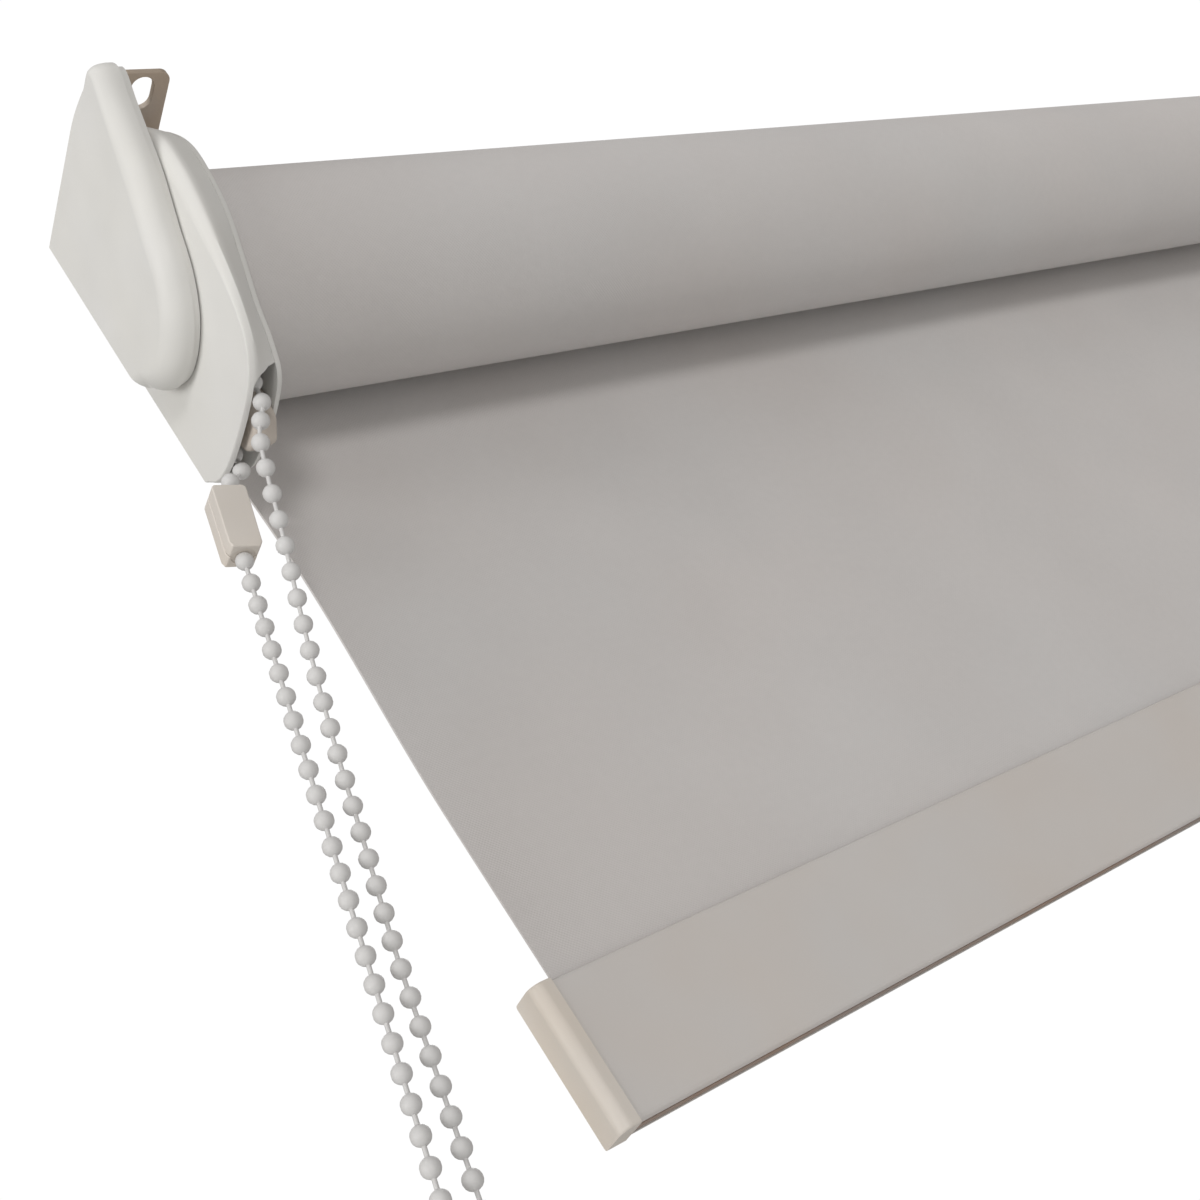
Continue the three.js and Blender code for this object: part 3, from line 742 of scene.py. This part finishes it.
def make_cover():
    """Rounded at the front, then a skirt that is hollow from behind."""
    top = -AXIS_Z - TOP_GAP
    low = top - TOP_STEP
    levels = [(x, outline(COVER_EDGE, COVER_BACK, top, inset, 0, cover_weight))
              for x, inset in rounded_rim(COVER_ROUND, 10)]
    for x, height, trim in ((COVER_DEPTH, top, 0), (COVER_DEPTH, low, 0.8), (SKIRT_END, low, 0.8),
                            (SKIRT_END, low, 1.6), (3.4, low, 1.8), (2.2, low, 3.4)):
        levels.append((x, outline(COVER_EDGE, COVER_BACK, height, 0, trim)))
    cover = lofted("side_cover_left", levels)
    soften(cover, 0.12, 2, 55)
    return cover


cover_left = make_cover()
cover_right = other_end(cover_left, "side_cover_right")


# ---- clutch housing and idle housing ----
CLUTCH_BORE_R = 15.4
IDLE_BORE_R = 9.5


def housing_weight(z):
    """The front rounding is broad at the top and nearly gone beside the chain's mouth."""
    rise = max(0.0, min(1.0, (z + 40) / 34))
    return 0.2 + 0.8 * rise * rise * (3 - 2 * rise)


def housing_outline(x, inset, trim):
    share = max(0.0, (x - 2.0) / (HOUSE_END - HOUSE_X - 2.0))
    outer = outline(HOUSE_EDGE, HOUSE_BACK, HOUSE_TOP, inset, trim, housing_weight)
    inner = outline(INNER_EDGE, HOUSE_BACK, HOUSE_TOP, inset, trim, housing_weight)
    return [(a[0] + (b[0] - a[0]) * share, a[1] + (b[1] - a[1]) * share) for a, b in zip(outer, inner)]


def mouth_cutter():
    """An opening with rounded top corners, cut up into the housing for the chain."""
    levels = []
    for x, drop in ((9.6, 2.6), (9.75, 1.7), (10.1, 0.9), (10.7, 0.3), (11.5, 0), (17.3, 0), (18.4, 0)):
        levels.append((x, [(-16.5 + drop, -60), (17, -60), (17, -41), (15.6, -38.4), (13, -37.2),
                           (-10 + drop, -37), (-14.4 + drop, -38.6), (-16.5 + drop, -42.5)]))
    return lofted("mouth", levels)


def make_housing(name, has_mouth):
    span = HOUSE_END - HOUSE_X
    levels = [(HOUSE_X + x, housing_outline(x, inset, 0)) for x, inset in rounded_rim(HOUSE_ROUND, 10)]
    levels += [(HOUSE_X + x, housing_outline(x, 0, 0)) for x in (6, 7.5, span)]
    levels += [(HOUSE_X + x, housing_outline(x, 0, WALL)) for x in (span, 7.5, 6)]
    levels += [(HOUSE_X + x, housing_outline(x, inset, WALL)) for x, inset in ((3.4, 1.8), (WALL, 3.6))]
    housing = lofted(name, levels)
    if has_mouth:
        cut_with(housing, mouth_cutter())
    soften(housing, 0.12, 2, 50)
    return housing


def make_wall(name, bore):
    rim = [(0.02, -0.1), (0.6, 0.1), (1.2, 0.32), (1.5, 0.46), (1.66, 0.7)]
    levels = [(HOUSE_END + x, outline(INNER_EDGE, HOUSE_BACK, HOUSE_TOP, inset, inset)) for x, inset in rim]
    wall = lofted(name, levels)
    cut_with(wall, rod(bore, HOUSE_END - 1, WALL_END + 1, 0, 0, 72))
    soften(wall, 0)
    return wall


house_left = make_housing("clutch_shell", True)
wall_left = make_wall("clutch_wall", CLUTCH_BORE_R)
house_right = other_end(make_housing("idle_shell_draft", False), "idle_shell")
bpy.data.objects.remove(bpy.data.objects["idle_shell_draft"])
wall_right = other_end(make_wall("idle_wall_draft", IDLE_BORE_R), "idle_wall_plate")
bpy.data.objects.remove(bpy.data.objects["idle_wall_draft"])
SHELLS = [
    (cover_left, "cover_left"),
    (cover_right, "cover_right"),
    (house_left, "clutch_housing"),
    (house_right, "idle_housing"),
    (wall_left, "clutch_inner_wall"),
    (wall_right, "idle_wall"),
]
for piece, node in SHELLS:
    dress(piece, WHITE)
    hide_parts(node)
    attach(piece, "frame")


# ---- hardware that keeps its CAD shape, with rounded edges ----
HARDWARE = [
    ("bracket_left", "bracket_plate_left", "frame", 0.25, PLATE),
    ("bracket_right", "bracket_plate_right", "frame", 0.25, PLATE),
    # the chain guide gets the white plastic with painted shade
    ("chain_guide", "chain_guide_block", "frame", 1.2, WHITE_PAINTED_SHADE),
    ("clutch_core", "clutch_core_tube", "frame", 0.3, BLACK),
    ("idle_socket", "idle_socket_bush", "frame", 0.3, BLACK),
    ("clutch_axle", "clutch_axle_bolt", "frame", 0.3, ZINC),
    ("idle_bolt", "idle_end_bolt", "frame", 0.3, ZINC),
    ("clutch_rivet_1", "clutch_rivet_head_1", "frame", 0.25, ZINC),
    ("clutch_rivet_2", "clutch_rivet_head_2", "frame", 0.25, ZINC),
    ("idle_rivet_1", "idle_rivet_head_1", "frame", 0.25, ZINC),
    ("idle_rivet_2", "idle_rivet_head_2", "frame", 0.25, ZINC),
    ("tension_base", "tensioner_base", "frame", 0.5, WHITE),
    ("tension_cap", "tensioner_cheek", "frame", 0.5, WHITE),
    ("tension_pin", "tensioner_pin", "frame", 0.3, ZINC),
    ("tension_wheel", "tensioner_wheel", "wheel", 0.3, WHITE),
    ("sprocket", "chain_sprocket", "roller", 0.3, WHITE),
    ("drive_hub", "clutch_drive_hub", "roller", 0.4, GREY),
    ("idle_plug", "idle_tube_plug", "roller", 0.4, GREY),
    ("spring_stop", "spring_stop_ring", "roller", 0.2, ZINC),
    ("roller_tube", "aluminium_tube", "roller", 0.2, TUBE),
    ("idle_pin", "sprung_pin", "plunger", 0.3, ZINC),
    ("hem_rod", "hem_spline", "bar", 0, GREY),
    ("bottom_rail", "weight_rail", "bar", 0.35, RAIL),
    ("rail_strip", "rail_cover_strip", "bar", 0.1, STRIP),
]
for node, name, body, width, material in HARDWARE:
    made = finished_node(node, name, body, width, 3, 24 if node == "bottom_rail" else 40)
    dress(made, material)
for node in ("brake_spring_1", "brake_spring_2", "pin_spring"):
    dress(nodes[node], ZINC)


# ---- end caps of the bottom rail ----
CAP_LIP = 0.35                                  # how far the cap stands proud of the rail
CAP_GAP = 0.06
CAP_ROUND = 2.9
CAP_CORNER = 0.7
TONGUE_UNDER_TOP = 13.4
TONGUE_ABOVE_FOOT = 3.4
TONGUE_HALF_Y = 2.9
TONGUE_LENGTH = 8.0


def cap_outline(inset, grow=0.0):
    """The cap's section: square top and bottom, with its front side drawn in by inset."""
    lip = CAP_LIP + grow
    front = RAIL_Y - RAIL_T / 2 - lip
    back = RAIL_Y + RAIL_T / 2 + lip
    low = RAIL_TOP - RAIL_H - lip
    high = RAIL_TOP + lip
    return rounded_rect((front + inset + back) / 2, (low + high) / 2, (back - front - inset) / 2,
                        (high - low) / 2, CAP_CORNER)


def make_rail_cap():
    depth = RAIL_X - CAP_X - CAP_GAP
    levels = [(CAP_X + x, cap_outline(inset)) for x, inset in rounded_rim(CAP_ROUND, 12)]
    levels += [(CAP_X + depth - 0.1, cap_outline(0)), (CAP_X + depth, cap_outline(0.1, -0.1))]
    tongue_z = RAIL_TOP - (TONGUE_UNDER_TOP + RAIL_H - TONGUE_ABOVE_FOOT) / 2
    tongue_half = (RAIL_H - TONGUE_UNDER_TOP - TONGUE_ABOVE_FOOT) / 2
    tongue_end = RAIL_X + TONGUE_LENGTH
    for x, grow in ((CAP_X + depth, 0), (tongue_end - 0.4, 0), (tongue_end, -0.3)):
        levels.append((x, rounded_rect(RAIL_Y, tongue_z, TONGUE_HALF_Y + grow, tongue_half + grow, 0.3)))
    cap = lofted("rail_end_cap_left", levels)
    soften(cap, 0)
    return cap


cap_left = make_rail_cap()
cap_right = other_end(cap_left, "rail_end_cap_right")
for piece, node in ((cap_left, "rail_cap_left"), (cap_right, "rail_cap_right")):
    dress(piece, CREAM)
    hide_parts(node)
    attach(piece, "bar")


# ---- wound cloth ----
RIGHT_EDGE = -2 * LEFT_FACE - CLOTH_X
LAYER = 0.75
TURNS = 7.1
TURN_STEPS = 88


def spiral_point(turns_in, side):
    """A point on the wound cloth: turns_in turns in from where the cloth leaves the roll."""
    a = -2 * math.pi * turns_in
    r = CLOTH_Y - LAYER * turns_in + side * CLOTH_T / 2
    return r * math.cos(a), r * math.sin(a)


def make_roll():
    steps = int(TURNS * TURN_STEPS)
    outer = [spiral_point(i / TURN_STEPS, 1) for i in range(steps + 1)]
    inner = [spiral_point(i / TURN_STEPS, -1) for i in range(steps, -1, -1)]
    band = outer + inner
    span = RIGHT_EDGE - CLOTH_X
    xs = [0, 0.6, span / 3, 2 * span / 3, span - 0.6, span]
    roll = lofted("cloth_roll", [(CLOTH_X + x, band) for x in xs])
    place = roll.data.attributes.new("cloth_place", "FLOAT_VECTOR", "POINT")
    for vert, spot in zip(roll.data.vertices, place.data):
        y, z = vert.co.y / MM, vert.co.z / MM - AXIS_Z
        angle = (-math.atan2(z, y) / (2 * math.pi)) % 1
        turns_in = round((CLOTH_Y - math.hypot(y, z)) / LAYER - angle) + angle
        along = -2 * math.pi * turns_in * (CLOTH_Y - LAYER * turns_in / 2)
        spot.vector = (vert.co.x, -along * MM, 0)
    pick(roll)
    bpy.ops.object.shade_smooth_by_angle(angle=math.radians(38))
    return roll


# ---- hanging cloth ----
SHEET_X = 150
SHEET_Z = 60
TUCKED_IN = 5.0                                 # length of cloth inside the rail
EDGE_BOW = 3.4                                  # the left edge is drawn towards the room
EDGE_CURL = 0.5
BOW_WIDTH = 26.0
FAR_CURL = 0.7
FAR_CURL_WIDTH = 9.0


def make_sheet():
    low = RAIL_TOP - TUCKED_IN
    width = RIGHT_EDGE - CLOTH_X
    bpy.ops.object.select_all(action="DESELECT")
    bpy.ops.mesh.primitive_grid_add(x_subdivisions=SHEET_X, y_subdivisions=SHEET_Z, size=1)
    sheet = bpy.context.object
    sheet.name = "hanging_cloth"
    bm = edit(sheet)
    for vert in bm.verts:
        u, v = vert.co.x + 0.5, vert.co.y + 0.5
        x = CLOTH_X + width * u
        z = low * (1 - v)
        hang = min(1, v / 0.12) * min(1, (1 - v) / 0.2)
        ripple = 0.5 * math.sin(x / 83 + 0.6) + 0.3 * math.sin(x / 37 + z / 90 + 2)
        bow = EDGE_BOW * math.sin(math.pi * min(1, (1 - v) / 0.75)) ** 2
        curl = (EDGE_CURL + bow) * math.exp(-u * width / BOW_WIDTH)
        curl += FAR_CURL * math.exp(-(1 - u) * width / FAR_CURL_WIDTH)
        vert.co = mm(x, CLOTH_Y + hang * (ripple - curl), z)
    object_mode()
    normals_out(sheet)
    place = sheet.data.attributes.new("cloth_place", "FLOAT_VECTOR", "POINT")
    for vert, spot in zip(sheet.data.vertices, place.data):
        spot.vector = (vert.co.x, vert.co.z - AXIS_Z * MM, 0)
    apply_modifier(sheet, "SOLIDIFY", thickness=CLOTH_T * MM, offset=0)
    pick(sheet)
    bpy.ops.object.shade_smooth_by_angle(angle=math.radians(60))
    return sheet


roll = make_roll()
dress(roll, CLOTH)
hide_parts("fabric_roll")
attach(roll, "roller")

sheet = make_sheet()
dress(sheet, CLOTH)
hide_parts("fabric_drop")
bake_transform(sheet)


# ---- floor, light and background ----
FLOOR_Z = -0.86


def make_floor():
    bpy.ops.object.select_all(action="DESELECT")
    bpy.ops.mesh.primitive_plane_add(size=16, location=(0, 0, FLOOR_Z))
    floor = bpy.context.object
    floor.name = "floor"
    look = Look("floor_paint", (0.86, 0.86, 0.85), 0.6)
    look.link(look.toned(0.01, 2), "Base Color")
    look.shader.inputs["Roughness"].default_value = 0.6
    dress(floor, look.material)


def far_light(name, strength, softness, toward, colour=(1, 1, 1)):
    """A distant lamp; toward points from the blind to the lamp."""
    data = bpy.data.lights.new(name, "SUN")
    data.energy = strength
    data.angle = math.radians(softness)
    data.color = colour
    lamp = bpy.data.objects.new(name, data)
    lamp.rotation_euler = (-Vector(toward)).to_track_quat("-Z", "Y").to_euler()
    bpy.context.scene.collection.objects.link(lamp)


def make_background():
    world = bpy.data.worlds.new("studio")
    bpy.context.scene.world = world
    world.use_nodes = True
    tree = world.node_tree
    back = tree.nodes["Background"]
    seen = tree.nodes.new("ShaderNodeBackground")
    seen.inputs["Color"].default_value = (1, 1, 1, 1)
    seen.inputs["Strength"].default_value = 1.02
    back.inputs["Color"].default_value = (1, 0.955, 0.915, 1)
    back.inputs["Strength"].default_value = 0.27
    mix = tree.nodes.new("ShaderNodeMixShader")
    ray = tree.nodes.new("ShaderNodeLightPath")
    tree.links.new(ray.outputs["Is Camera Ray"], mix.inputs[0])
    tree.links.new(back.outputs[0], mix.inputs[1])
    tree.links.new(seen.outputs[0], mix.inputs[2])
    tree.links.new(mix.outputs[0], tree.nodes["World Output"].inputs["Surface"])


make_floor()
make_background()
far_light("side", 1.45, 30, (-1, -0.2, 0.05), (1, 0.995, 0.985))
far_light("front", 0.75, 13, (-0.42, -0.9, 0.02), (1, 0.985, 0.97))
far_light("sky", 0.5, 60, (-0.25, -0.5, 0.85), (0.97, 0.98, 1))
far_light("behind", 0.9, 40, (0.5, 0.7, 0.5))
bpy.context.scene.view_settings.view_transform = "Standard"
